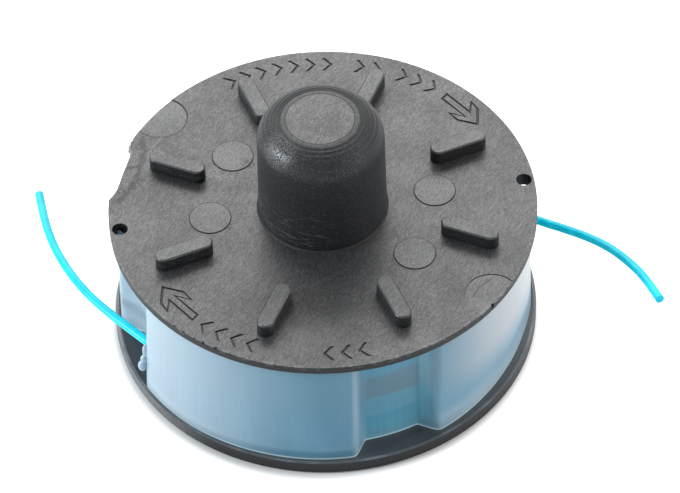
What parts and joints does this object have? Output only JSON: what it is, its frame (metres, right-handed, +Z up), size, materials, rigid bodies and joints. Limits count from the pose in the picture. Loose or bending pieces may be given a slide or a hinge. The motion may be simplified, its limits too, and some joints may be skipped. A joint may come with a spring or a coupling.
{
  "type": "trimmer line spool",
  "caption": "Round moulded reel with a tall domed knob, radial ribs and two wound chambers of cutting line behind a milky pocketed band, with free line ends at the sides.",
  "frame": {"origin": "centre of the flat base, on the surface it stands on", "axes": "+Z up along the spool's axis towards the knob; the picture looks along +Y and down, with +X to its right"},
  "size_m": [0.1123, 0.0764, 0.0504],
  "materials": {
    "reel_plastic": "dark grey moulded nylon, dull and finely speckled, paler on the flat faces",
    "band_plastic": "milky translucent soft plastic that lets the line's blue through",
    "cutting_line": "bright cyan clear nylon line"
  },
  "bodies": {
    "root": {"reel": "reel_plastic", "line_band": "band_plastic", "lower_winding": "cutting_line", "upper_winding": "cutting_line", "line_end_left": "cutting_line", "line_end_right": "cutting_line"}
  },
  "joints": []
}
